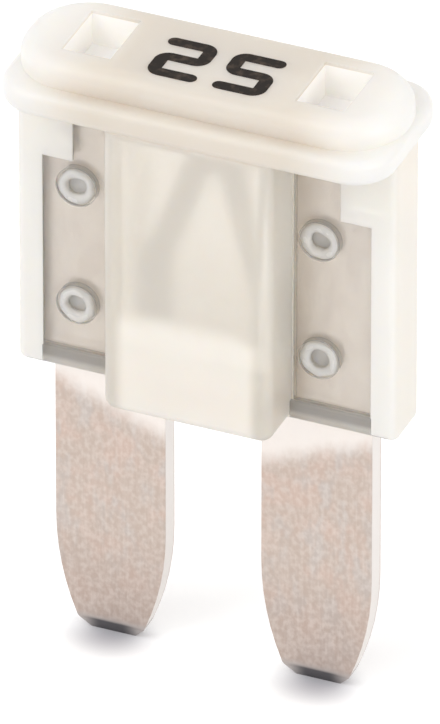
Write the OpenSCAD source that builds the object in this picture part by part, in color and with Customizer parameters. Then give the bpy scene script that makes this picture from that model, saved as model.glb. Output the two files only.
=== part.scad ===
// Micro-size two-blade automotive fuse, upright: +Z is up, X runs along the row of blades
// and Y through the thickness. The origin lies midway between the blades, in the plane of
// the housing's underside.

/* [Flange and top] */
// Overall width, across the flange
flange_w = 9.1; // [9:0.1:10]
// Overall thickness, across the flange
flange_d = 3.8; // [3.8:0.1:4.4]
// Thickness of the flange
flange_h = 0.6; // [0.5:0.05:0.65]
// Corner radius of the flange, seen from above
flange_corner_r = 0.95; // [0.4:0.05:1.2]
// Rounding of the flange's edges
flange_edge_r = 0.18; // [0.1:0.02:0.24]
// Width of the raised top platform
platform_w = 8.9; // [8.4:0.1:8.9]
// Thickness of the raised top platform
platform_d = 3; // [2.8:0.1:3.4]
// Height of the platform above the flange
platform_h = 0.63; // [0.45:0.01:0.7]
// Corner radius of the platform, seen from above
platform_corner_r = 1.38; // [0.8:0.02:1.38]
// Rounding of the platform's top edge
platform_edge_r = 0.4; // [0.1:0.02:0.44]

/* [Body] */
// Height of the housing, from its underside to the top of the platform
housing_h = 8.35; // [8.2:0.05:8.8]
// Width of the body, across both wings
body_w = 8.95; // [8.7:0.05:9]
// Thickness of the wings
wing_d = 1.3; // [1.2:0.05:1.6]
// Width of the central column
column_w = 3.95; // [3.8:0.05:4.1]
// Thickness of the central column
column_d = 3.68; // [3.3:0.02:3.78]
// Radius of the column's upright edges and its foot
column_edge_r = 0.28; // [0.1:0.02:0.3]
// Radius of the wings' upright edges and their foot
wing_edge_r = 0.18; // [0.08:0.02:0.24]

/* [Viewing windows and test openings] */
// Distance of a window's outer edge from the middle
window_x = 3.86; // [3.7:0.02:3.9]
// Distance of the narrow upper window's outer edge from the middle
window_neck_x = 3.14; // [2.9:0.02:3.3]
// Height of the step in a window
window_step_z = 5.4; // [5:0.05:5.8]
// Height of a window's lower edge
window_foot_z = 0.5; // [0.4:0.02:0.8]
// Depth of a window in the face of the wing
window_recess = 0.07; // [0.04:0.01:0.1]
// Distance between the middles of the two test openings
probe_pitch = 5.46; // [5.3:0.02:5.6]
// Width of a test opening
probe_w = 1.15; // [0.9:0.05:1.3]
// Length of a test opening through the thickness
probe_d = 1.7; // [1.2:0.05:1.9]

/* [Blades] */
// Distance between the middles of the two blades
blade_pitch = 4.88; // [4.8:0.02:4.96]
// Width of a blade
blade_w = 2.6; // [2.4:0.02:2.64]
// Thickness of the blades
blade_t = 0.54; // [0.5:0.01:0.62]
// Length of the blades below the housing
blade_l = 6.95; // [6.2:0.05:7.5]
// Length over which a blade narrows to its tip
taper_l = 2.9; // [2.4:0.1:3.2]
// Radius of the arcs that narrow a blade
taper_r = 6.8; // [6:0.1:8]
// Width of the flat end of a tip
tip_w = 1.05; // [0.8:0.05:1.2]
// Height of the cut corners, drawn out to the blade's full width
tip_corner_h = 0.84; // [0.6:0.02:1]
// Height of the bevels on the tip's two faces
tip_bevel_h = 0.34; // [0.2:0.02:0.5]
// Thickness of the tip between its bevels
tip_t = 0.24; // [0.15:0.01:0.35]

/* [Plates and fuse link] */
// Distance of a plate's outer edge from the middle
plate_x = 3.93; // [3.9:0.01:3.96]
// Distance of a plate's neck edge from the middle
plate_neck_x = 3.22; // [3.15:0.01:3.35]
// Height of the top of a plate's neck
plate_top_z = 7.6; // [7.4:0.05:7.7]
// Distance of a foot's inner edge from the middle
foot_x = 1.04; // [0.98:0.02:1.1]
// Height of the underside of the link's feet
foot_z = 1.64; // [1.5:0.02:1.8]
// Height of the top of the link's feet
foot_top_z = 3.0; // [2.8:0.05:3.2]
// Height of the top of the link's arch
link_top_z = 6.28; // [6:0.02:6.4]
// Outer radius of the link's arch
link_r = 0.78; // [0.7:0.01:0.82]
// Width of the link in its arch
link_w = 0.56; // [0.4:0.02:0.6]
// Width of the link at the foot of its wide leg
wide_leg_w = 0.66; // [0.5:0.02:0.7]
// Width of the link at the foot of its narrow leg
narrow_leg_w = 0.32; // [0.25:0.01:0.4]
// Thickness of the link
link_t = 0.3; // [0.2:0.01:0.4]

/* [Staking] */
// Distance between the middles of the stakes, from wing to wing
stake_pitch = 5.7; // [5.6:0.02:5.9]
// Sideways shift of all the stakes
stake_shift = -0.24; // [-0.25:0.01:-0.1]
// Height of the lower stakes
stake_low_z = 1.68; // [1.6:0.02:1.9]
// Height of the upper stakes
stake_high_z = 4.7; // [4.5:0.02:4.8]
// Diameter of a stake's plastic pin, which fills its hole
stake_d = 0.5; // [0.4:0.02:0.56]
// Diameter of the sunk ring around a stake
dimple_d = 0.95; // [0.8:0.01:1]
// Depth of the sunk ring
dimple_depth = 0.15; // [0.1:0.01:0.16]
// Diameter of the middle of a stake's face
dimple_core_d = 0.48; // [0.3:0.02:0.5]
// Depth of the middle of a stake's face
dimple_core_depth = 0.23; // [0.18:0.01:0.25]

/* [Inside the housing] */
// Gap between a plate and the sides of its slot
slot_gap = 0.02; // [0.01:0.01:0.04]
// Width of the chamber around the link
chamber_w = 3.3; // [3:0.05:3.4]
// Thickness of the chamber around the link
chamber_d = 2.3; // [1.8:0.05:2.4]
// Height of the top of the chamber
chamber_top_z = 6.75; // [6.6:0.05:6.9]
// Depth of the wide mouth of the blade slots
mouth_h = 0.45; // [0.3:0.02:0.48]
// Extra width of the mouth on each face of the plates
mouth_gap = 0.14; // [0.05:0.01:0.16]

/* [Hidden] */
$fn = 64;
fine_fn = 256;
over = 1;
join_h = 0.3;
lap = 0.1;
sides = [-1, 1];
platform_z = housing_h - platform_h;
flange_z = platform_z - flange_h;
corner_flat = 0.02;
column_corner_r = column_edge_r + corner_flat;
wing_corner_r = wing_edge_r + corner_flat;
probe_depth = 0.1;
probe_floor_z = plate_top_z - probe_depth;
slot_t = blade_t + 2 * slot_gap;
slot_x = plate_x + slot_gap;
slot_neck_x = plate_neck_x + slot_gap;
slot_step_z = window_step_z + slot_gap;
plate_inner_x = column_w / 2;
slot_inner_x = plate_inner_x - slot_gap;
plate_step_z = window_step_z;
plate_seat_z = 0.1;
blade_inner_x = blade_pitch / 2 - blade_w / 2;
blade_outer_x = blade_pitch / 2 + blade_w / 2;
tip_z = -blade_l;
taper_z = tip_z + taper_l;
link_x = 0.05;
link_z = link_top_z - link_r;
link_mid_r = link_r - link_w / 2;
wide_foot_x = -1.38;
narrow_foot_x = 1.12;
leg_foot_z = foot_top_z - lap;

// Rounded rectangle, centred on the origin
module soft_rect(width, depth, corner_r) {
    square([width - 2 * corner_r, depth], center = true);
    square([width, depth - 2 * corner_r], center = true);
    for (x = sides, y = sides)
        translate([x * (width / 2 - corner_r), y * (depth / 2 - corner_r)])
            circle(r = corner_r);
}

// Round rim of a slab: a bead of radius edge_r that follows the slab's outline
module rim(width, depth, corner_r, edge_r) {
    bead_x = width / 2 - corner_r;
    bead_y = depth / 2 - corner_r;
    for (y = sides)
        translate([0, y * (depth / 2 - edge_r), 0])
            rotate([0, 90, 0])
                cylinder(r = edge_r, h = 2 * bead_x, center = true);
    for (x = sides)
        translate([x * (width / 2 - edge_r), 0, 0])
            rotate([90, 0, 0])
                cylinder(r = edge_r, h = 2 * bead_y, center = true);
    for (x = sides, y = sides)
        translate([x * bead_x, y * bead_y, 0])
            rotate([0, 0, y > 0 ? (x > 0 ? 0 : 90) : (x > 0 ? 270 : 180)])
                rotate_extrude(angle = 90)
                    intersection() {
                        translate([corner_r - edge_r, 0])
                            circle(r = edge_r);
                        translate([0, -over])
                            square([corner_r + over, 2 * over]);
                    }
}

// Slab from z = 0 up, with round corners and a round edge below, above or both
module soft_slab(width, depth, height, corner_r, edge_r, below, above) {
    low = below ? edge_r : 0;
    high = above ? edge_r : 0;
    translate([0, 0, low])
        linear_extrude(height - low - high)
            soft_rect(width, depth, corner_r);
    linear_extrude(height)
        soft_rect(width - 2 * edge_r, depth - 2 * edge_r, corner_r - edge_r);
    if (below)
        translate([0, 0, edge_r])
            rim(width, depth, corner_r, edge_r);
    if (above)
        translate([0, 0, height - edge_r])
            rim(width, depth, corner_r, edge_r);
}

// Box that spans y_size through the middle of the thickness, between two corners in x and z
module span_box(x0, x1, z0, z1, y_size) {
    translate([x0, -y_size / 2, z0])
        cube([x1 - x0, y_size, z1 - z0]);
}

// Draws its children on both sides of the x = 0 plane
module both_sides() {
    children();
    mirror([1, 0, 0])
        children();
}

// Places its children at every stake, their axis along y, at a distance y from the middle
module at_stakes(y) {
    for (x = sides, z = [stake_low_z, stake_high_z])
        translate([x * stake_pitch / 2 + stake_shift, y, z])
            rotate([90, 0, 0])
                children();
}

// Solid form of the housing before it is hollowed
module housing_shell() {
    translate([0, 0, flange_z])
        soft_slab(flange_w, flange_d, flange_h, flange_corner_r, flange_edge_r, true, true);
    translate([0, 0, platform_z - join_h])
        soft_slab(platform_w, platform_d, platform_h + join_h,
                  platform_corner_r, platform_edge_r, false, true);
    soft_slab(body_w, wing_d, flange_z + join_h, wing_corner_r, wing_edge_r, true, false);
    soft_slab(column_w, column_d, flange_z + join_h, column_corner_r, column_edge_r,
              true, false);
}

// Slots for the plates, with a wide mouth, and the chamber around the link
module inner_spaces() {
    span_box(-slot_x, slot_x, -over, slot_step_z, slot_t);
    span_box(-slot_x, slot_x, -over, mouth_h, slot_t + 2 * mouth_gap);
    both_sides()
        span_box(slot_inner_x, slot_neck_x, slot_step_z - join_h, plate_top_z, slot_t);
    span_box(-chamber_w / 2, chamber_w / 2, foot_z - slot_gap, chamber_top_z, chamber_d);
}

// Test openings in the top, down to the necks of the plates
module probe_openings() {
    for (side = sides)
        translate([side * probe_pitch / 2 - probe_w / 2, -probe_d / 2, probe_floor_z])
            cube([probe_w, probe_d, housing_h]);
}

// Shallow stepped windows in both faces of both wings
module viewing_windows() {
    for (face = sides)
        both_sides()
            translate([0, face * wing_d / 2, 0]) {
                span_box(column_w / 2, window_x, window_foot_z, window_step_z,
                         2 * window_recess);
                span_box(column_w / 2, window_neck_x, window_step_z - join_h, flange_z,
                         2 * window_recess);
            }
}

// Sunk faces of the stakes, on both faces of the wings
module dimples() {
    for (face = sides) {
        at_stakes(face * wing_d / 2)
            cylinder(d = dimple_d, h = 2 * dimple_depth, center = true);
        at_stakes(face * wing_d / 2)
            cylinder(d = dimple_core_d, h = 2 * dimple_core_depth, center = true);
    }
}

// Translucent plastic housing, moulded in one piece
module housing() {
    color([0.95, 0.93, 0.88])
        union() {
            difference() {
                housing_shell();
                inner_spaces();
                probe_openings();
                viewing_windows();
                dimples();
            }
            at_stakes(0)
                cylinder(d = stake_d, h = slot_t + lap, center = true);
        }
}

// Disc whose rim draws one edge of a blade's taper
module taper_disc(x) {
    translate([x, taper_z])
        circle(r = taper_r, $fn = fine_fn);
}

// Outline of one blade below the housing, in the x-z plane
module blade_outline() {
    tip_x = blade_pitch / 2;
    translate([blade_inner_x, taper_z])
        square([blade_w, plate_seat_z - taper_z]);
    intersection() {
        translate([blade_inner_x, tip_z])
            square([blade_w, taper_l]);
        taper_disc(blade_outer_x - taper_r);
        taper_disc(blade_inner_x + taper_r);
        polygon([
            [tip_x - tip_w / 2, tip_z],
            [tip_x + tip_w / 2, tip_z],
            [blade_outer_x, tip_z + tip_corner_h],
            [blade_outer_x, taper_z],
            [blade_inner_x, taper_z],
            [blade_inner_x, tip_z + tip_corner_h]
        ]);
    }
}

// Side view of the blades, in the y-z plane, with the bevels of the tips
module blade_profile() {
    polygon([
        [-tip_t / 2, tip_z],
        [tip_t / 2, tip_z],
        [blade_t / 2, tip_z + tip_bevel_h],
        [blade_t / 2, plate_seat_z + over],
        [-blade_t / 2, plate_seat_z + over],
        [-blade_t / 2, tip_z + tip_bevel_h]
    ]);
}

// Outline of the plate that one blade widens into inside the housing
module plate_outline() {
    translate([blade_inner_x, 0])
        square([plate_inner_x + lap - blade_inner_x, foot_top_z]);
    translate([foot_x, foot_z])
        square([plate_inner_x + lap - foot_x, foot_top_z - foot_z]);
    translate([plate_inner_x, plate_seat_z])
        square([plate_x - plate_inner_x, plate_step_z - plate_seat_z]);
    translate([plate_inner_x, plate_step_z - join_h])
        square([plate_neck_x - plate_inner_x, plate_top_z - plate_step_z + join_h]);
}

// One leg of the link, from its foot up to the arch
module leg_outline(low_x, low_w, high_x) {
    polygon([
        [low_x - low_w / 2, leg_foot_z],
        [low_x + low_w / 2, leg_foot_z],
        [high_x + link_w / 2, link_z],
        [high_x - link_w / 2, link_z]
    ]);
}

// Outline of the link: a half-round arch on two slanted legs of unequal width
module link_outline() {
    translate([link_x, link_z])
        difference() {
            circle(r = link_r);
            circle(r = link_r - link_w);
            translate([-over, -over])
                square([2 * over, over]);
        }
    leg_outline(wide_foot_x, wide_leg_w, link_x - link_mid_r);
    leg_outline(narrow_foot_x, narrow_leg_w, link_x + link_mid_r);
}

// Turns an outline in the x-z plane into a plate of thickness t about y = 0
module upright(t) {
    rotate([90, 0, 0])
        linear_extrude(t, center = true)
            children();
}

// Both blades, their plates and the link between them, stamped in one piece
module blade_element() {
    color([0.8, 0.73, 0.67])
        difference() {
            union() {
                both_sides() {
                    intersection() {
                        upright(blade_t)
                            blade_outline();
                        rotate([90, 0, 90])
                            linear_extrude(blade_outer_x + over)
                                blade_profile();
                    }
                    upright(blade_t)
                        plate_outline();
                }
                upright(link_t)
                    link_outline();
            }
            at_stakes(0)
                cylinder(d = stake_d, h = blade_t + over, center = true);
        }
}

housing();
blade_element();
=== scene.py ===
"""Dresses a micro-size two-blade automotive fuse: clear plastic, plated metal, an inked rating."""

import logging
import math
from dataclasses import dataclass
from enum import Enum
from typing import Dict, List, Optional, Sequence, Tuple, Union

import bmesh
import bpy
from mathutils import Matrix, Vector


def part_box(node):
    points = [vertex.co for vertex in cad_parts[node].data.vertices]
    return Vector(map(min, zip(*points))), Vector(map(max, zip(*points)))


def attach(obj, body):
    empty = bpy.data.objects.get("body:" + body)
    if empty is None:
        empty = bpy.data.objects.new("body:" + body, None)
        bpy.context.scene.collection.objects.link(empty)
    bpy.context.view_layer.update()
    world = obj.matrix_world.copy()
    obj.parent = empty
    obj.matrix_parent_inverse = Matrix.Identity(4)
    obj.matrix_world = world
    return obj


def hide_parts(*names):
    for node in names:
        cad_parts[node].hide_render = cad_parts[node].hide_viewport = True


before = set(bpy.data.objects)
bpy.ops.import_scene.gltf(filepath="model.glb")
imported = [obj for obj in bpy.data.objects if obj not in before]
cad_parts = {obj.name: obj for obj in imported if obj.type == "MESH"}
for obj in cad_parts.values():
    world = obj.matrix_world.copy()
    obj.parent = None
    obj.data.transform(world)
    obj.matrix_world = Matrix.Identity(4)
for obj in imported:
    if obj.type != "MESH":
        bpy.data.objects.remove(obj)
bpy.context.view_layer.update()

log = logging.getLogger("fuse")

MM = 0.001
IMAGE_HEIGHT = 724
BODY = "root"
TOP_Z = 8.35
STAKE_SHIFT = -0.24
NOISE_MIDDLE = 0.5
UPRIGHT = (math.pi / 2, 0.0, 0.0)
EVEN = (1.0, 1.0, 1.0)
DARK = (0.0, 0.0, 0.0)
WHITE_LIGHT = (1.0, 1.0, 1.0, 1.0)
BACKDROP_RAYS = ("Is Camera Ray", "Is Glossy Ray", "Is Transmission Ray")

Colour = Tuple[float, float, float]
Point = Tuple[float, float, float]
Span = Tuple[float, float]
Number = Union[float, "Value"]
Settings = Dict[str, object]
Sockets = Dict[object, object]


class Axis(Enum):
    """The parts of a position."""

    X = "X"
    Y = "Y"
    Z = "Z"


class MixSocket(Enum):
    """The sockets of a Mix node that mixes colours."""

    FACTOR = 0
    FIRST = 6
    SECOND = 7
    RESULT = 2


@dataclass(frozen=True)
class Noise:
    """Smooth noise: features in a millimetre, its detail, and a factor for each direction."""

    scale: float
    detail: float = 3.0
    stretch: Point = EVEN


@dataclass(frozen=True)
class Layer:
    """A colour laid over others, which comes in where a pattern rises through its span."""

    colour: Colour
    span: Span
    share: float


class Value:
    """A number in a material's tree, on which Python's operators add Math nodes."""

    def __init__(self, tree: "Tree", socket: bpy.types.NodeSocket) -> None:
        """Wraps one output socket of a tree."""
        self.tree = tree
        self.socket = socket

    def math(self, operation: str, first: Number, second: Optional[Number] = None) -> "Value":
        """Adds one Math node.

        Args:
            operation: The Math node's operation.
            first: Its first number.
            second: Its second number, if it has one.

        Returns:
            The node's result.
        """
        sockets = {0: first} if second is None else {0: first, 1: second}
        node = self.tree.node("ShaderNodeMath", {"operation": operation}, sockets)
        return Value(self.tree, node.outputs[0])

    def __add__(self, other: Number) -> "Value":
        """Adds a number."""
        return self.math("ADD", self, other)

    def __radd__(self, other: Number) -> "Value":
        """Is added to a number."""
        return self.math("ADD", other, self)

    def __sub__(self, other: Number) -> "Value":
        """Takes a number off."""
        return self.math("SUBTRACT", self, other)

    def __rsub__(self, other: Number) -> "Value":
        """Is taken off a number."""
        return self.math("SUBTRACT", other, self)

    def __mul__(self, other: Number) -> "Value":
        """Multiplies by a number."""
        return self.math("MULTIPLY", self, other)

    def __rmul__(self, other: Number) -> "Value":
        """Is multiplied by a number."""
        return self.math("MULTIPLY", other, self)

    def size(self) -> "Value":
        """The number without its sign."""
        return self.math("ABSOLUTE", self)

    def root(self) -> "Value":
        """The number's square root."""
        return self.math("SQRT", self)

    def most(self, other: Number) -> "Value":
        """The larger of two numbers."""
        return self.math("MAXIMUM", self, other)

    def above(self, low: float, high: float) -> "Value":
        """A mask that rises smoothly from 0 at low to 1 at high."""
        node = self.tree.node(
            "ShaderNodeMapRange",
            {"interpolation_type": "SMOOTHSTEP"},
            {"Value": self, "From Min": low, "From Max": high},
        )
        return Value(self.tree, node.outputs["Result"])

    def below(self, low: float, high: float) -> "Value":
        """A mask that falls smoothly from 1 at low to 0 at high."""
        return 1 - self.above(low, high)

    def within(self, limit: float, edge: float) -> "Value":
        """A mask that is 1 up to a limit, with a soft edge of that width beyond it."""
        return self.below(limit, limit + edge)

    def between(self, low: float, high: float, edge: float) -> "Value":
        """A mask that is 1 from low to high, with soft edges of that width."""
        return self.above(low - edge, low) * self.below(high, high + edge)


@dataclass(frozen=True)
class Spot:
    """A point of the surface in millimetres. Across is x with its sign; x and y are without."""

    place: bpy.types.NodeSocket
    across: Value
    x: Value
    y: Value
    z: Value


class NodeBuilder:
    """Adds nodes to a tree of any kind."""

    def __init__(self, tree: bpy.types.NodeTree) -> None:
        """Keeps the tree's nodes and links."""
        self.nodes = tree.nodes
        self.links = tree.links

    def node(self, kind: str, settings: Settings, sockets: Sockets) -> bpy.types.Node:
        """Adds one node.

        Args:
            kind: The node's type.
            settings: Its settings, which are set first.
            sockets: A value, or a link from a Value or a socket, for each input.

        Returns:
            The node.
        """
        node = self.nodes.new(kind)
        for name, value in settings.items():
            setattr(node, name, value)
        for name, value in sockets.items():
            source = value.socket if isinstance(value, Value) else value
            if isinstance(source, bpy.types.NodeSocket):
                self.links.new(source, node.inputs[name])
            else:
                node.inputs[name].default_value = source
        return node


class Tree(NodeBuilder):
    """Builds the node tree of one material or world."""

    def __init__(self, owner: Union[bpy.types.Material, bpy.types.World]) -> None:
        """Empties the owner's tree and starts a new one."""
        owner.use_nodes = True
        super().__init__(owner.node_tree)
        self.nodes.clear()

    def place(self) -> bpy.types.NodeSocket:
        """The surface's position on the object, in millimetres."""
        place = self.node("ShaderNodeTexCoord", {}, {})
        scaled = self.node(
            "ShaderNodeVectorMath",
            {"operation": "SCALE"},
            {0: place.outputs["Object"], "Scale": 1 / MM},
        )
        return scaled.outputs[0]

    def along(self, place: bpy.types.NodeSocket, axis: Axis) -> Value:
        """One part of a position."""
        parts = self.node("ShaderNodeSeparateXYZ", {}, {0: place})
        return Value(self, parts.outputs[axis.value])

    def spot(self) -> Spot:
        """The surface's position with its parts.

        Returns:
            The point of the surface.
        """
        place = self.place()
        across, deep, high = [self.along(place, axis) for axis in Axis]
        return Spot(place, across, across.size(), deep.size(), high)

    def noise(self, place: bpy.types.NodeSocket, pattern: Noise) -> Value:
        """Smooth noise between 0 and 1.

        Args:
            place: The position that it follows.
            pattern: Its features.

        Returns:
            The noise.
        """
        if pattern.stretch != EVEN:
            settings = {"operation": "MULTIPLY"}
            sockets = {0: place, 1: pattern.stretch}
            place = self.node("ShaderNodeVectorMath", settings, sockets).outputs[0]
        sockets = {"Vector": place, "Scale": pattern.scale, "Detail": pattern.detail}
        return Value(self, self.node("ShaderNodeTexNoise", {}, sockets).outputs[0])

    def blend(self, factor: Number, first: object, second: object) -> bpy.types.NodeSocket:
        """Mixes two colours.

        Args:
            factor: The share of the second colour.
            first: The first colour, or a socket with it.
            second: The second colour, or a socket with it.

        Returns:
            The socket of the mixed colour.
        """
        sockets = {
            MixSocket.FACTOR.value: factor,
            MixSocket.FIRST.value: opaque(first),
            MixSocket.SECOND.value: opaque(second),
        }
        node = self.node("ShaderNodeMix", {"data_type": "RGBA"}, sockets)
        return node.outputs[MixSocket.RESULT.value]

    def lay(self, under: object, pattern: Value, layer: Layer) -> bpy.types.NodeSocket:
        """Lays a layer over a colour.

        Args:
            under: The colour below, or a socket with it.
            pattern: The number that the layer follows.
            layer: The layer.

        Returns:
            The socket of the new colour.
        """
        return self.blend(pattern.above(*layer.span) * layer.share, under, layer.colour)

    def bump(self, height: Value, distance: float, strength: float) -> bpy.types.NodeSocket:
        """A normal that follows a height."""
        sockets = {"Height": height, "Distance": distance, "Strength": strength}
        return self.node("ShaderNodeBump", {}, sockets).outputs[0]

    def principled(self, sockets: Sockets) -> bpy.types.NodeSocket:
        """A Principled shader with those inputs."""
        return self.node("ShaderNodeBsdfPrincipled", {}, sockets).outputs[0]

    def backdrop_mask(self) -> Value:
        """A mask that is 1 for the rays that should meet a white backdrop.

        Returns:
            The mask.
        """
        path = self.node("ShaderNodeLightPath", {}, {})
        mask, *others = [Value(self, path.outputs[ray]) for ray in BACKDROP_RAYS]
        for ray in others:
            mask = mask.most(ray)
        return mask

    def surface(self, shader: bpy.types.NodeSocket, world: bool = False) -> None:
        """Ends the tree with its output."""
        kind = "ShaderNodeOutputWorld" if world else "ShaderNodeOutputMaterial"
        self.node(kind, {}, {"Surface": shader})


def opaque(colour: object) -> object:
    """A colour with its alpha, or the socket that was given."""
    return (*colour, 1.0) if isinstance(colour, tuple) else colour


@dataclass(frozen=True)
class HousingZones:
    """Masks of the places where the housing's finish differs."""

    under_flange: Value
    column: Value
    foot: Value
    chamber: Value
    mouth: Value
    opening: Value
    stake: Value
    clear: Value


@dataclass(frozen=True)
class HousingPlan:
    """Where the housing's finish changes, in millimetres from its middle."""

    edge: float = 0.03
    flange_z: float = 7.12
    column_x: float = 1.98
    window_gap: float = 0.06
    window_x: float = 3.86
    window_y: float = 0.615
    wing_y: float = 0.66
    body_end_x: float = 4.25
    strip_z: float = 0.5
    chamber_x: float = 1.68
    chamber_y: float = 1.2
    chamber_z: Span = (1.58, 6.8)
    mouth_reach: float = 0.1
    mouth_y: float = 0.45
    mouth_z: float = 0.46
    foot_x: Span = (1.4, 1.75)
    foot_z: Span = (2.25, 2.95)
    foot_wave: float = 0.5
    stake_x: float = 2.85
    stake_z: float = 3.19
    stake_rise: float = 1.51
    stake_r: float = 0.49
    probe_x: float = 2.73
    probe_half_w: float = 0.575
    probe_half_d: float = 0.85
    probe_z: float = 7.5
    probe_rim: float = 0.09

    def windows(self, spot: Spot, under_flange: Value) -> Value:
        """A mask of the windows' clear walls.

        Args:
            spot: The point of the surface.
            under_flange: A mask of all that lies under the flange.

        Returns:
            The mask.
        """
        wall = spot.y.below(self.window_y - self.edge / 2, self.window_y + self.edge / 2)
        start = self.column_x + self.window_gap
        return wall * spot.x.between(start, self.body_end_x, self.edge) * under_flange

    def chamber(self, spot: Spot) -> Value:
        """A mask of the chamber around the link.

        Args:
            spot: The point of the surface.

        Returns:
            The mask.
        """
        chamber = spot.x.within(self.chamber_x, self.edge)
        chamber = chamber * spot.y.within(self.chamber_y, self.edge)
        return chamber * spot.z.between(*self.chamber_z, self.edge)

    def strips(self, spot: Spot) -> Value:
        """A mask of the clear strips at the foot of the wings.

        Args:
            spot: The point of the surface.

        Returns:
            The mask.
        """
        strips = spot.z.within(self.strip_z, self.edge)
        strips = strips * spot.x.between(self.column_x, self.window_x, self.edge)
        return strips * spot.y.within(self.wing_y, self.edge)

    def mouths(self, spot: Spot) -> Value:
        """A mask of the slots' mouths on the underside."""
        mouths = spot.y.within(self.mouth_y, self.edge) * spot.z.within(self.mouth_z, self.edge)
        return mouths * spot.x.within(self.window_x + self.mouth_reach, self.edge)

    def foot(self, spot: Spot, haze: Value) -> Value:
        """A mask of the thick foot of the column, with an uneven top."""
        height = spot.z + (haze - NOISE_MIDDLE) * self.foot_wave
        return spot.x.below(*self.foot_x) * height.below(*self.foot_z)

    def stakes(self, spot: Spot) -> Value:
        """A mask of the round places over the four stakes.

        Args:
            spot: The point of the surface.

        Returns:
            The mask.
        """
        aside = (spot.across - STAKE_SHIFT).size() - self.stake_x
        above = (spot.z - self.stake_z).size() - self.stake_rise
        ring = (aside * aside + above * above).root()
        return ring.below(self.stake_r - self.edge, self.stake_r)

    def openings(self, spot: Spot) -> Value:
        """A mask of the two test openings in the top.

        Args:
            spot: The point of the surface.

        Returns:
            The mask.
        """
        openings = (spot.x - self.probe_x).size().within(self.probe_half_w + self.edge, self.edge)
        openings = openings * spot.y.within(self.probe_half_d + self.edge, self.edge)
        return openings * spot.z.between(self.probe_z, TOP_Z - self.probe_rim, self.edge)

    def zones(self, spot: Spot, haze: Value) -> HousingZones:
        """Works out all the masks.

        Args:
            spot: The point of the surface.
            haze: The noise that makes the foot's top uneven.

        Returns:
            The masks.
        """
        under_flange = spot.z.below(self.flange_z - self.edge, self.flange_z + self.edge)
        chamber = self.chamber(spot)
        windows = self.windows(spot, under_flange)
        return HousingZones(
            under_flange=under_flange,
            column=spot.x.within(self.column_x, self.edge),
            foot=self.foot(spot, haze),
            chamber=chamber,
            mouth=self.mouths(spot),
            opening=self.openings(spot),
            stake=self.stakes(spot),
            clear=windows.most(chamber).most(self.strips(spot)),
        )


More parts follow.
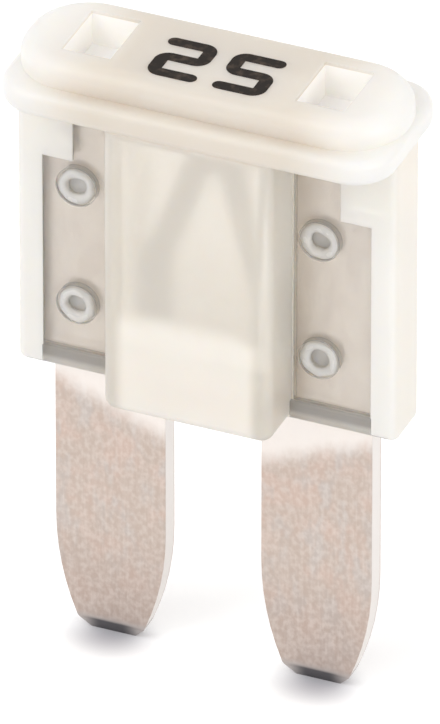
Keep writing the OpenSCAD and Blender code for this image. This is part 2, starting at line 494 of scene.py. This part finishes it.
@dataclass(frozen=True)
class ClearPlastic:
    """Natural translucent plastic: clear in the windows, milky elsewhere, with painted glows
    inside and a painted shade in the slots' mouths. In millimetres.
    """

    name: str = "natural_translucent_plastic"
    plan: HousingPlan = HousingPlan()
    clear_colour: Colour = (1.0, 0.995, 0.98)
    milk_colour: Colour = (0.955, 0.9, 0.835)
    warm_colour: Colour = (0.84, 0.78, 0.695)
    top_colour: Colour = (0.95, 0.914, 0.874)
    head_colour: Colour = (0.745, 0.68, 0.598)
    slot_shade_colour: Colour = (0.42, 0.385, 0.35)
    opening_glow: Colour = (0.13, 0.13, 0.13)
    chamber_glow: Colour = (0.14, 0.134, 0.122)
    top_milk: float = 0.86
    column_milk: float = 0.6
    wing_milk: float = 0.88
    foot_milk: float = 0.85
    window_milk: float = 0.1
    stake_milk: float = 0.65
    milk_wave: float = 0.1
    haze: Noise = Noise(0.9, 2.0)
    grain: Noise = Noise(14.0, 4.0)
    swirl: Noise = Noise(2.2)
    warm_x: Span = (1.6, 4.0)
    warm_least: float = 0.75
    warm_wave: float = 0.5
    foot_cooling: float = 0.6
    end_x: Span = (4.36, 4.46)
    end_warmth: float = 0.6
    head_x: Span = (2.0, 4.3)
    slot_shade_z: Span = (0.24, 0.36)
    slot_shade_edge: float = 0.16
    clear_roughness: float = 0.3
    clear_polish: float = 0.2
    clear_grain: float = 0.1
    milk_roughness: float = 0.34
    milk_grain: float = 0.14
    bump_grain: float = 0.3
    bump_depth: float = 0.02
    bump_strength: float = 0.35
    ior: float = 1.5
    scatter: float = 0.6
    scatter_depth: float = 0.9
    scatter_reach: Colour = (1.0, 0.85, 0.65)

    def milk(self, zones: HousingZones, haze: Value) -> Value:
        """How milky the plastic is, from 0, clear, to 1.

        Args:
            zones: The masks of the housing.
            haze: The noise that varies it.

        Returns:
            The share of the milky shader.
        """
        milk = self.wing_milk + zones.column * (self.column_milk - self.wing_milk)
        milk = milk + zones.foot * (self.foot_milk - self.column_milk)
        milk = milk * zones.under_flange + (1 - zones.under_flange) * self.top_milk
        milk = milk + (haze - NOISE_MIDDLE) * self.milk_wave
        window = self.window_milk + zones.stake * (self.stake_milk - self.window_milk)
        milk = milk * (1 - zones.clear) + zones.clear * window
        # The mouths are made fully milky so that their painted shade shows.
        return milk * (1 - zones.mouth) + zones.mouth

    def colour(
        self, tree: Tree, spot: Spot, zones: HousingZones, haze: Value
    ) -> bpy.types.NodeSocket:
        """The colour of the milky plastic, with a painted shade in the slots' mouths.

        Args:
            tree: The material's tree.
            spot: The point of the surface.
            zones: The masks of the housing.
            haze: The noise that varies it.

        Returns:
            The socket of the colour.
        """
        warm = spot.x.below(*self.warm_x) * (self.warm_least + haze * self.warm_wave)
        warm = warm * (1 - zones.foot * self.foot_cooling)
        warm = warm.most(spot.x.above(*self.end_x) * self.end_warmth)
        body = tree.blend(warm, self.milk_colour, self.warm_colour)
        inner = spot.x.below(*self.head_x) * (1 - zones.opening)
        head = tree.blend(inner, self.top_colour, self.head_colour)
        # Painted shade: a dark band in the slots' mouths, where they lie in shadow under the
        # housing.
        shade = spot.z.between(*self.slot_shade_z, self.slot_shade_edge)
        plain = tree.blend(zones.under_flange, head, body)
        return tree.blend(zones.mouth * shade, plain, self.slot_shade_colour)

    def build(self) -> bpy.types.Material:
        """Makes the material: a clear and a milky shader, mixed by place.

        Returns:
            The material.
        """
        material = bpy.data.materials.new(self.name)
        tree = Tree(material)
        spot = tree.spot()
        haze = tree.noise(spot.place, self.haze)
        grain = tree.noise(spot.place, self.grain)
        swirl = tree.noise(spot.place, self.swirl)
        zones = self.plan.zones(spot, haze)
        height = grain * self.bump_grain + swirl
        normal = tree.bump(height, self.bump_depth * MM, self.bump_strength)
        polished = self.clear_roughness - zones.clear * self.clear_polish
        clear_shader = tree.principled({
            "Base Color": opaque(self.clear_colour),
            "Roughness": polished + grain * self.clear_grain,
            "IOR": self.ior,
            "Transmission Weight": 1.0,
            # Painted glow: the chamber round the link gives off a faint light, standing in for
            # light that comes through the plastic.
            "Emission Color": tree.blend(zones.chamber, DARK, self.chamber_glow),
            "Emission Strength": 1.0,
            "Normal": normal,
        })
        milk_shader = tree.principled({
            "Base Color": self.colour(tree, spot, zones, haze),
            "Roughness": self.milk_roughness + grain * self.milk_grain,
            "IOR": self.ior,
            "Subsurface Weight": self.scatter,
            "Subsurface Radius": self.scatter_reach,
            "Subsurface Scale": self.scatter_depth * MM,
            # Painted glow: the test openings give off a faint light, standing in for light that
            # comes through the plastic.
            "Emission Color": tree.blend(zones.opening, DARK, self.opening_glow),
            "Emission Strength": 1.0,
            "Normal": normal,
        })
        sockets = {0: self.milk(zones, haze), 1: clear_shader, 2: milk_shader}
        tree.surface(tree.node("ShaderNodeMixShader", {}, sockets).outputs[0])
        return material


@dataclass(frozen=True)
class PlatedMetal:
    """Plated copper alloy: warm, mottled and drawn along the blades, with painted shade on the
    bevels at the tips, a painted highlight below the housing, and painted light on the blades'
    sides and the plates, with a painted shade on the link.

    Lengths are in millimetres.
    """

    name: str = "mottled_plated_metal"
    base_colour: Colour = (0.53, 0.435, 0.377)
    highlight_colour: Colour = (0.88, 0.83, 0.79)
    lit_side_colour: Colour = (0.79, 0.75, 0.72)
    low_colour: Colour = (0.447, 0.359, 0.317)
    lit_plate_colour: Colour = (0.96, 0.875, 0.8)
    link_shade_colour: Colour = (0.1, 0.085, 0.07)
    tip_shade_colour: Colour = (0.1, 0.095, 0.1)
    bevel_shade_colour: Colour = (0.5, 0.46, 0.44)
    pink: Layer = Layer((0.58, 0.443, 0.378), (0.4, 0.65), 0.8)
    grey: Layer = Layer((0.515, 0.462, 0.432), (0.46, 0.7), 0.75)
    bright_specks: Layer = Layer((0.88, 0.83, 0.79), (0.35, 0.7), 0.24)
    bright_lines: Layer = Layer((0.88, 0.83, 0.79), (0.45, 0.7), 0.08)
    plate_shade: Layer = Layer((0.84, 0.74, 0.67), (0.4, 0.7), 0.6)
    blotches: Noise = Noise(1.5)
    specks: Noise = Noise(8.0, 5.0, (1.0, 1.0, 0.8))
    clouds: Noise = Noise(2.3, 3.0, (1.3, 1.0, 0.6))
    lines: Noise = Noise(14.0, 3.0, (1.0, 1.0, 0.06))
    low_z: Span = (-6.2, -3.6)
    low_share: float = 0.7
    highlight_x: float = 1.2
    highlight_slope: float = 0.4
    highlight_wave: float = 0.3
    highlight_z: Span = (-1.8, -1.1)
    highlight_share: float = 0.85
    lit_side_y: Span = (0.215, 0.24)
    link_x: float = 1.9
    link_edge: float = 0.05
    seat_z: Span = (-0.1, 0.1)
    bevel_shade_z: Span = (-6.63, -6.45)
    bevel_shade_share: float = 0.8
    tip_shade_z: Span = (-6.67, -6.56)
    tip_x: float = 2.46
    tip_shade_half_w: Span = (0.25, 0.75)
    shine: float = 0.85
    tip_shade_dullness: float = 0.6
    roughness: float = 0.4
    speck_roughness: float = 0.16
    tip_shade_roughness: float = 0.1
    bump_specks: float = 0.6
    bump_lines: float = 0.4
    bump_depth: float = 0.012
    bump_strength: float = 0.4

    def blade_colour(
        self, tree: Tree, spot: Spot, clouds: Value, specks: Value, lines: Value
    ) -> bpy.types.NodeSocket:
        """The colour of the blades: mottled, with a painted highlight below the housing and
        painted light on their sides.

        Args:
            tree: The material's tree.
            spot: The point of the surface.
            clouds: Noise for the larger clouds.
            specks: Noise for the specks.
            lines: Noise drawn out along the blades.

        Returns:
            The socket of the colour.
        """
        colour = tree.lay(self.base_colour, tree.noise(spot.place, self.blotches), self.pink)
        colour = tree.lay(colour, clouds, self.grey)
        colour = tree.blend(spot.z.below(*self.low_z) * self.low_share, colour, self.low_colour)
        colour = tree.lay(colour, specks, self.bright_specks)
        colour = tree.lay(colour, lines, self.bright_lines)
        # Painted highlight: a lighter band just below the housing, which reaches lower under the
        # column.
        edge = spot.z - (spot.x - self.highlight_x) * self.highlight_slope
        edge = edge + (clouds - NOISE_MIDDLE) * self.highlight_wave
        highlight = edge.above(*self.highlight_z) * self.highlight_share
        colour = tree.blend(highlight, colour, self.highlight_colour)
        # Painted light: the narrow sides of the blades are made lighter, as if they catch the
        # lamps.
        return tree.blend(spot.y.below(*self.lit_side_y), colour, self.lit_side_colour)

    def build(self) -> bpy.types.Material:
        """Makes the material.

        Returns:
            The material.
        """
        material = bpy.data.materials.new(self.name)
        tree = Tree(material)
        spot = tree.spot()
        specks = tree.noise(spot.place, self.specks)
        clouds = tree.noise(spot.place, self.clouds)
        lines = tree.noise(spot.place, self.lines)
        colour = self.blade_colour(tree, spot, clouds, specks, lines)
        # Painted light: the plates inside the wings are lighter than the same metal of the blades,
        # standing in for the light that comes through the plastic.
        plate = tree.lay(self.lit_plate_colour, clouds, self.plate_shade)
        # Painted shade: the link is darkened so that its shadow shows through the column.
        link = spot.x.within(self.link_x, self.link_edge)
        inner = tree.blend(link, plate, self.link_shade_colour)
        colour = tree.blend(spot.z.above(*self.seat_z), colour, inner)
        # Painted shade: the tips' bevels are greyed where they face down towards the floor.
        bevel_shade = spot.z.below(*self.bevel_shade_z) * self.bevel_shade_share
        colour = tree.blend(bevel_shade, colour, self.bevel_shade_colour)
        # Painted shade: the middle of each tip's bevel is darkened and dulled where it faces the
        # shaded floor.
        middle = (spot.x - self.tip_x).size().below(*self.tip_shade_half_w)
        tip_shade = spot.z.below(*self.tip_shade_z) * middle
        colour = tree.blend(tip_shade, colour, self.tip_shade_colour)
        roughness = self.roughness + specks * self.speck_roughness
        height = specks * self.bump_specks + lines * self.bump_lines
        tree.surface(tree.principled({
            "Base Color": colour,
            "Metallic": self.shine - tip_shade * self.tip_shade_dullness,
            "Roughness": roughness + tip_shade * self.tip_shade_roughness,
            "Normal": tree.bump(height, self.bump_depth * MM, self.bump_strength),
        }))
        return material


@dataclass(frozen=True)
class RatingInk:
    """Dark pad-printed ink, a little thin in places."""

    name: str = "dark_rating_ink"
    ink_colour: Colour = (0.022, 0.017, 0.014)
    thin: Layer = Layer((0.075, 0.055, 0.042), (0.45, 0.75), 1.0)
    worn: Noise = Noise(5.0, 4.0)
    roughness: float = 0.5
    worn_roughness: float = 0.2
    gloss: float = 0.12

    def build(self) -> bpy.types.Material:
        """Makes the material.

        Returns:
            The material.
        """
        material = bpy.data.materials.new(self.name)
        tree = Tree(material)
        worn = tree.noise(tree.place(), self.worn)
        tree.surface(tree.principled({
            "Base Color": tree.lay(self.ink_colour, worn, self.thin),
            "Roughness": self.roughness + worn * self.worn_roughness,
            "Specular IOR Level": self.gloss,
        }))
        return material


@dataclass(frozen=True)
class StudioFloor:
    """White studio floor that keeps the object's shadow, with a painted shade round the tips of
    the blades. In millimetres.
    """

    name: str = "white_studio_floor"
    lit_colour: Colour = (0.86, 0.86, 0.87)
    seen_colour: Colour = (1.0, 1.0, 1.0)
    shade_colour: Colour = (0.5, 0.49, 0.53)
    tip_x: float = 2.46
    tip_y: float = -0.35
    shade_r: float = 1.3
    shade_squeeze: Span = (0.8, 1.2)
    shade_share: float = 0.85
    glow: float = 0.14

    def build(self) -> bpy.types.Material:
        """Makes the material.

        Returns:
            The material.
        """
        material = bpy.data.materials.new(self.name)
        tree = Tree(material)
        place = tree.place()
        # Painted shade: a soft bluish-grey spot round each blade tip, on top of the rendered
        # shadow.
        aside = tree.along(place, Axis.X).size() - self.tip_x
        ahead = tree.along(place, Axis.Y) - self.tip_y
        squeeze_x, squeeze_y = self.shade_squeeze
        away = (aside * aside * squeeze_x + ahead * ahead * squeeze_y).root()
        shade = away.below(0.0, self.shade_r)
        seen = tree.backdrop_mask()
        colour = tree.blend(seen, self.lit_colour, self.seen_colour)
        colour = tree.blend(shade * self.shade_share, colour, self.shade_colour)
        strength = seen * (1 - shade) * self.glow
        diffuse = tree.node("ShaderNodeBsdfDiffuse", {}, {"Color": colour})
        glow = tree.node(
            "ShaderNodeEmission", {}, {"Color": WHITE_LIGHT, "Strength": strength}
        )
        both = tree.node("ShaderNodeAddShader", {}, {0: diffuse.outputs[0], 1: glow.outputs[0]})
        tree.surface(both.outputs[0])
        return material


def mesh_object(name: str, mesh: bpy.types.Mesh, material: bpy.types.Material) -> bpy.types.Object:
    """Puts a finished mesh into the scene with one material.

    Args:
        name: The piece's name.
        mesh: Its mesh, placed in the row frame.
        material: Its only material.

    Returns:
        The piece.
    """
    mesh.name = name
    mesh.materials.clear()
    mesh.materials.append(material)
    piece = bpy.data.objects.new(name, mesh)
    bpy.context.scene.collection.objects.link(piece)
    return piece


def baked(source: bpy.types.Object) -> bpy.types.Mesh:
    """The mesh of an object with its modifiers applied, after which the object is removed.

    Args:
        source: An object of the scene.

    Returns:
        The plain mesh.
    """
    graph = bpy.context.evaluated_depsgraph_get()
    mesh = bpy.data.meshes.new_from_object(source.evaluated_get(graph), depsgraph=graph)
    bpy.data.objects.remove(source)
    return mesh


@dataclass
class RefinedPiece:
    """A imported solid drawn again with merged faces, fine edge breaks and smooth round parts."""

    node: str
    name: str
    edge_break: float
    steps: int = 2
    sharp_angle: float = math.radians(28)
    flat_angle: float = math.radians(0.6)
    merge_gap: float = 2e-7

    def build(self) -> bpy.types.Mesh:
        """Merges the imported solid's triangles and breaks its sharp edges.

        Returns:
            The finished mesh.
        """
        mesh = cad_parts[self.node].data.copy()
        work = bmesh.new()
        work.from_mesh(mesh)
        bmesh.ops.remove_doubles(work, verts=work.verts, dist=self.merge_gap)
        bmesh.ops.dissolve_limit(
            work, angle_limit=self.flat_angle, verts=work.verts, edges=work.edges
        )
        work.to_mesh(mesh)
        work.free()
        mesh.polygons.foreach_set("use_smooth", [True] * len(mesh.polygons))
        draft = bpy.data.objects.new(self.name + "_draft", mesh)
        bpy.context.scene.collection.objects.link(draft)
        breaks = draft.modifiers.new("edge_breaks", "BEVEL")
        breaks.width = self.edge_break
        breaks.segments = self.steps
        breaks.limit_method = "ANGLE"
        breaks.angle_limit = self.sharp_angle
        breaks.use_clamp_overlap = True
        breaks.harden_normals = False
        shading = draft.modifiers.new("face_shading", "WEIGHTED_NORMAL")
        shading.keep_sharp = True
        return baked(draft)

    def dress(self, material: bpy.types.Material) -> bpy.types.Object:
        """Builds the piece and lets it stand for its node.

        Args:
            material: The piece's finish.

        Returns:
            The piece.
        """
        piece = mesh_object(self.name, self.build(), material)
        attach(piece, BODY)
        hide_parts(self.node)
        return piece


class PatternTree(NodeBuilder):
    """Builds a Geometry Nodes tree with named inputs."""

    def __init__(self, name: str, sizes: Dict[str, float]) -> None:
        """Starts an empty tree.

        Args:
            name: The tree's name.
            sizes: A length in metres for each named input.
        """
        self.group = bpy.data.node_groups.new(name, "GeometryNodeTree")
        super().__init__(self.group)
        self.sizes = sizes
        self.identifiers: Dict[str, str] = {}
        sockets = self.group.interface
        for way in ("INPUT", "OUTPUT"):
            sockets.new_socket("Geometry", in_out=way, socket_type="NodeSocketGeometry")
        for size in sizes:
            socket = sockets.new_socket(size, in_out="INPUT", socket_type="NodeSocketFloat")
            self.identifiers[size] = socket.identifier
        self.entry = self.nodes.new("NodeGroupInput")
        self.exit = self.nodes.new("NodeGroupOutput")

    def value(self, name: str) -> bpy.types.NodeSocket:
        """The socket that brings a named input into the tree."""
        return self.entry.outputs[name]

    def scaled(self, name: str, factor: float) -> bpy.types.NodeSocket:
        """A named input multiplied by a factor."""
        sockets = {0: self.value(name), 1: factor}
        return self.node("ShaderNodeMath", {"operation": "MULTIPLY"}, sockets).outputs[0]

    def vector(self, x: object, y: object, z: object) -> bpy.types.NodeSocket:
        """Combines three numbers into a vector."""
        return self.node("ShaderNodeCombineXYZ", {}, {0: x, 1: y, 2: z}).outputs[0]

    def circle(self, steps: int, radius: str) -> bpy.types.NodeSocket:
        """A circle whose radius is a named input."""
        sockets = {"Resolution": steps, "Radius": self.value(radius)}
        return self.node("GeometryNodeCurvePrimitiveCircle", {}, sockets).outputs[0]

    def joined(self, parts: Sequence[bpy.types.NodeSocket]) -> bpy.types.NodeSocket:
        """Joins several geometries into one.

        Args:
            parts: The sockets of the geometries.

        Returns:
            The socket of the whole.
        """
        join = self.node("GeometryNodeJoinGeometry", {}, {})
        for part in parts:
            self.links.new(part, join.inputs[0])
        return join.outputs[0]

    def finish(self, geometry: bpy.types.NodeSocket, material: bpy.types.Material) -> None:
        """Ends the tree with Realize Instances and Set Material.

        Args:
            geometry: The geometry to finish.
            material: The material of every face.
        """
        real = self.node("GeometryNodeRealizeInstances", {}, {0: geometry})
        dressed = self.node(
            "GeometryNodeSetMaterial", {}, {"Geometry": real.outputs[0], "Material": material}
        )
        self.links.new(dressed.outputs[0], self.exit.inputs[0])

    def run(self, mesh: bpy.types.Mesh) -> bpy.types.Mesh:
        """Runs the tree on a mesh.

        Args:
            mesh: The mesh that the tree starts from.

        Returns:
            The plain mesh that the tree makes.
        """
        holder = bpy.data.objects.new(self.group.name + "_draft", mesh)
        bpy.context.scene.collection.objects.link(holder)
        modifier = holder.modifiers.new(self.group.name, "NODES")
        modifier.node_group = self.group
        for name, size in self.sizes.items():
            modifier[self.identifiers[name]] = size
        return baked(holder)


@dataclass
class StakeBeads:
    """Uneven beads of melted plastic that ring the stakes on both faces of the wings.

    Lengths are in millimetres.
    """

    pitch: float = 5.7
    low_z: float = 1.68
    high_z: float = 4.7
    face_y: float = 0.5
    ring_r: float = 0.33
    ring_steps: int = 40
    bead_r: float = 0.115
    bead_steps: int = 14
    unevenness: float = 0.14
    lumps: Noise = Noise(2.4, 1.0)

    def bead(self, tree: PatternTree) -> bpy.types.NodeSocket:
        """One smooth bead, lying flat round the origin.

        Args:
            tree: The tree to build in.

        Returns:
            The socket of the geometry.
        """
        sockets = {
            "Curve": tree.circle(self.ring_steps, "Ring Radius"),
            "Profile Curve": tree.circle(self.bead_steps, "Bead Radius"),
        }
        tube = tree.node("GeometryNodeCurveToMesh", {}, sockets)
        return tree.node("GeometryNodeSetShadeSmooth", {}, {0: tube.outputs[0]}).outputs[0]

    def places(self, tree: PatternTree) -> bpy.types.NodeSocket:
        """The corners of a standing rectangle, in front and behind.

        Args:
            tree: The tree to build in.

        Returns:
            The socket of the geometry.
        """
        sockets = {
            "Size X": tree.value("Pitch"),
            "Size Y": tree.value("Rise"),
            "Vertices X": 2,
            "Vertices Y": 2,
        }
        grid = tree.node("GeometryNodeMeshGrid", {}, sockets)
        faces = []
        for side in (-1.0, 1.0):
            depth = tree.scaled("Face", side)
            sockets = {
                "Geometry": grid.outputs["Mesh"],
                "Translation": tree.vector(
                    tree.value("Shift"), depth, tree.value("Middle Height")
                ),
                "Rotation": UPRIGHT,
            }
            faces.append(tree.node("GeometryNodeTransform", {}, sockets).outputs[0])
        return tree.joined(faces)

    def melt(self, tree: PatternTree, beads: bpy.types.NodeSocket) -> bpy.types.NodeSocket:
        """Moves the beads' surface a little in and out.

        Args:
            tree: The tree to build in.
            beads: The placed beads.

        Returns:
            The uneven beads.
        """
        sockets = {"Scale": self.lumps.scale / MM, "Detail": self.lumps.detail}
        lumps = tree.node("ShaderNodeTexNoise", {}, sockets).outputs[1]
        centred = tree.node(
            "ShaderNodeVectorMath", {"operation": "SUBTRACT"}, {0: lumps, 1: (NOISE_MIDDLE,) * 3}
        )
        offset = tree.node(
            "ShaderNodeVectorMath",
            {"operation": "SCALE"},
            {0: centred.outputs[0], "Scale": tree.value("Unevenness")},
        )
        real = tree.node("GeometryNodeRealizeInstances", {}, {0: beads})
        sockets = {"Geometry": real.outputs[0], "Offset": offset.outputs[0]}
        return tree.node("GeometryNodeSetPosition", {}, sockets).outputs[0]

    def tree(self, material: bpy.types.Material) -> PatternTree:
        """Builds the pattern: one uneven bead for each stake, on both faces.

        Args:
            material: The beads' finish.

        Returns:
            The tree.
        """
        tree = PatternTree("stake_beads", {
            "Pitch": self.pitch * MM,
            "Rise": (self.high_z - self.low_z) * MM,
            "Middle Height": (self.high_z + self.low_z) / 2 * MM,
            "Shift": STAKE_SHIFT * MM,
            "Face": self.face_y * MM,
            "Ring Radius": self.ring_r * MM,
            "Bead Radius": self.bead_r * MM,
            "Unevenness": self.unevenness * MM,
        })
        sockets = {
            "Points": self.places(tree),
            "Instance": self.bead(tree),
            "Rotation": UPRIGHT,
        }
        beads = tree.node("GeometryNodeInstanceOnPoints", {}, sockets)
        tree.finish(self.melt(tree, beads.outputs[0]), material)
        return tree

    def dress(self, material: bpy.types.Material) -> bpy.types.Object:
        """Makes the beads as one piece.

        Args:
            material: The beads' finish.

        Returns:
            The piece.
        """
        mesh = self.tree(material).run(bpy.data.meshes.new("stake_beads_start"))
        piece = mesh_object("stake_beads", mesh, material)
        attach(piece, BODY)
        return piece


@dataclass
class RatingNumber:
    """The rating on the top, in two squared digits of five strokes each. In millimetres."""

    digit_w: float = 0.88
    digit_h: float = 1.26
    middle: float = 0.02
    pitch: float = 1.56
    centre_x: float = 0.07
    centre_y: float = -0.27
    stroke_w: float = 0.31
    corner_r: float = 0.17
    corner_steps: int = 8
    cap_steps: int = 24
    cap_share: float = 0.9
    ink_t: float = 0.008

    def strokes(self, turn: int) -> List[Tuple[float, float]]:
        """The corners of one digit, from its top to its foot.

        Args:
            turn: 1 for a 2, which starts at its upper left, or -1 for a 5.

        Returns:
            The corners, from the digit's centre.
        """
        side, top = self.digit_w / 2 * turn, self.digit_h / 2
        return [
            (-side, top), (side, top), (side, self.middle),
            (-side, self.middle), (-side, -top), (side, -top),
        ]

    def start(self) -> bpy.types.Mesh:
        """The two digits as open chains of edges on the top face.

        Returns:
            The mesh.
        """
        points: List[Point] = []
        edges: List[Tuple[int, int]] = []
        for turn, offset in ((1, -self.pitch / 2), (-1, self.pitch / 2)):
            chain = self.strokes(turn)
            first = len(points)
            points += [
                ((x + offset + self.centre_x) * MM, (y + self.centre_y) * MM, TOP_Z * MM)
                for x, y in chain
            ]
            edges += [(first + i, first + i + 1) for i in range(len(chain) - 1)]
        mesh = bpy.data.meshes.new("rating_start")
        mesh.from_pydata(points, edges, [])
        return mesh

    def caps(self, tree: PatternTree, curve: bpy.types.NodeSocket) -> bpy.types.NodeSocket:
        """Round ends for the strokes, a little thinner than the strokes.

        Args:
            tree: The tree to build in.
            curve: The chains of the digits.

        Returns:
            The geometry of the ends.
        """
        ends = tree.node(
            "GeometryNodeCurveEndpointSelection", {}, {"Start Size": 1, "End Size": 1}
        )
        sockets = {
            "Vertices": self.cap_steps,
            "Radius": tree.scaled("Stroke Width", 0.5),
            "Depth": tree.scaled("Ink Thickness", self.cap_share),
        }
        disc = tree.node("GeometryNodeMeshCylinder", {}, sockets)
        sockets = {"Points": curve, "Selection": ends.outputs[0], "Instance": disc.outputs[0]}
        return tree.node("GeometryNodeInstanceOnPoints", {}, sockets).outputs[0]

    def ribbon(self, tree: PatternTree, curve: bpy.types.NodeSocket) -> bpy.types.NodeSocket:
        """A flat stroke along each chain, with round corners.

        Args:
            tree: The tree to build in.
            curve: The chains of the digits.

        Returns:
            The geometry of the strokes.
        """
        fillet = tree.node(
            "GeometryNodeFilletCurve",
            {"mode": "POLY"},
            {"Curve": curve, "Count": self.corner_steps, "Radius": tree.value("Corner Radius")},
        )
        profile = tree.node(
            "GeometryNodeCurvePrimitiveQuadrilateral",
            {"mode": "RECTANGLE"},
            {"Width": tree.value("Stroke Width"), "Height": tree.value("Ink Thickness")},
        )
        sockets = {
            "Curve": fillet.outputs[0], "Profile Curve": profile.outputs[0], "Fill Caps": True,
        }
        return tree.node("GeometryNodeCurveToMesh", {}, sockets).outputs[0]

    def tree(self, material: bpy.types.Material) -> PatternTree:
        """Builds the pattern: the strokes of both digits with their round ends.

        Args:
            material: The ink.

        Returns:
            The tree.
        """
        tree = PatternTree("rating_strokes", {
            "Stroke Width": self.stroke_w * MM,
            "Ink Thickness": self.ink_t * MM,
            "Corner Radius": self.corner_r * MM,
        })
        chains = tree.node("GeometryNodeMeshToCurve", {}, {0: tree.value("Geometry")})
        curve = chains.outputs[0]
        both = tree.joined([self.ribbon(tree, curve), self.caps(tree, curve)])
        flat = tree.node("GeometryNodeSetShadeSmooth", {}, {0: both, "Shade Smooth": False})
        tree.finish(flat.outputs[0], material)
        return tree

    def dress(self, material: bpy.types.Material) -> bpy.types.Object:
        """Makes both digits as one piece.

        Args:
            material: The ink.

        Returns:
            The piece.
        """
        mesh = self.tree(material).run(self.start())
        piece = mesh_object("rating_number", mesh, material)
        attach(piece, BODY)
        return piece


@dataclass(frozen=True)
class Lamp:
    """A soft square lamp that points at the object. Lengths in metres, its power in watts."""

    name: str
    place: Point
    power: float
    size: float = 0.2

    def hang(self) -> None:
        """Puts the lamp into the scene."""
        data = bpy.data.lights.new(self.name, "AREA")
        data.size = self.size
        data.energy = self.power
        lamp = bpy.data.objects.new(self.name, data)
        lamp.location = self.place
        lamp.rotation_mode = "QUATERNION"
        lamp.rotation_quaternion = (-Vector(self.place)).to_track_quat("-Z", "Y")
        bpy.context.scene.collection.objects.link(lamp)


@dataclass
class Studio:
    """White floor, soft lamps and the camera at the photograph's angle. Lengths in metres."""

    azimuth: float = 22.8
    elevation: float = 32.8
    distance: float = 0.4
    pixels_per_mm: float = 45.97
    aim_right: float = 0.000048
    aim_z: float = 0.00063
    sensor: float = 36.0
    clip_near: float = 0.04
    clip_far: float = 8.0
    floor_size: float = 2.0
    world_level: float = 0.9
    lamps: Tuple[Lamp, ...] = (
        Lamp("key_lamp", (-0.16, -0.2, 0.24), 0.3),
        Lamp("side_lamp", (0.26, -0.06, 0.08), 0.18),
    )

    def floor(self, height: float) -> bpy.types.Object:
        """Lays the floor under the tips of the blades.

        Args:
            height: The floor's height.

        Returns:
            The floor.
        """
        half = self.floor_size / 2
        corners = [(x * half, y * half, height) for x, y in ((-1, -1), (1, -1), (1, 1), (-1, 1))]
        mesh = bpy.data.meshes.new("floor")
        mesh.from_pydata(corners, [], [(0, 1, 2, 3)])
        floor = mesh_object("floor", mesh, StudioFloor().build())
        return floor

    def world(self) -> None:
        """Lights the scene evenly, and shows white behind the object."""
        world = bpy.data.worlds.new("studio_world")
        bpy.context.scene.world = world
        tree = Tree(world)
        level = tree.backdrop_mask() * (1 - self.world_level) + self.world_level
        sockets = {"Color": WHITE_LIGHT, "Strength": level}
        tree.surface(tree.node("ShaderNodeBackground", {}, sockets).outputs[0], world=True)

    def camera(self) -> None:
        """Stands the camera where the photograph was taken from."""
        azimuth, elevation = math.radians(self.azimuth), math.radians(self.elevation)
        back = Vector((
            math.sin(azimuth) * math.cos(elevation),
            -math.cos(azimuth) * math.cos(elevation),
            math.sin(elevation),
        ))
        data = bpy.data.cameras.new("camera")
        data.sensor_width = self.sensor
        data.lens = self.sensor * self.distance / (IMAGE_HEIGHT / self.pixels_per_mm * MM)
        data.clip_start = self.clip_near
        data.clip_end = self.clip_far
        camera = bpy.data.objects.new("camera", data)
        aside = Vector((math.cos(azimuth), math.sin(azimuth), 0)) * self.aim_right
        camera.location = Vector((0, 0, self.aim_z)) + aside + back * self.distance
        camera.rotation_mode = "QUATERNION"
        camera.rotation_quaternion = (-back).to_track_quat("-Z", "Y")
        bpy.context.scene.collection.objects.link(camera)
        bpy.context.scene.camera = camera

    def build(self, floor_height: float) -> None:
        """Sets up the floor, the world, the lamps and the camera.

        Args:
            floor_height: The height of the tips of the blades.
        """
        bpy.context.scene.view_settings.view_transform = "Standard"
        self.floor(floor_height)
        self.world()
        for lamp in self.lamps:
            lamp.hang()
        self.camera()


def main() -> None:
    """Builds the fuse piece by piece, then the studio."""
    logging.basicConfig(level=logging.INFO, format="%(name)s: %(message)s")
    plastic = ClearPlastic().build()
    frosted = ClearPlastic(
        name="frosted_stake_plastic",
        milk_colour=(0.86, 0.805, 0.74),
        wing_milk=0.85,
        window_milk=0.85,
        stake_milk=0.85,
    ).build()
    metal = PlatedMetal().build()
    ink = RatingInk().build()
    pieces = [
        RefinedPiece("housing", "clear_housing", edge_break=0.035 * MM).dress(plastic),
        RefinedPiece("blade_element", "stamped_element", edge_break=0.03 * MM).dress(metal),
        StakeBeads().dress(frosted),
        RatingNumber().dress(ink),
    ]
    for piece in pieces:
        log.info("%s: %d faces", piece.name, len(piece.data.polygons))
    Studio().build(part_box("blade_element")[0].z)


if __name__ == "__main__":
    main()
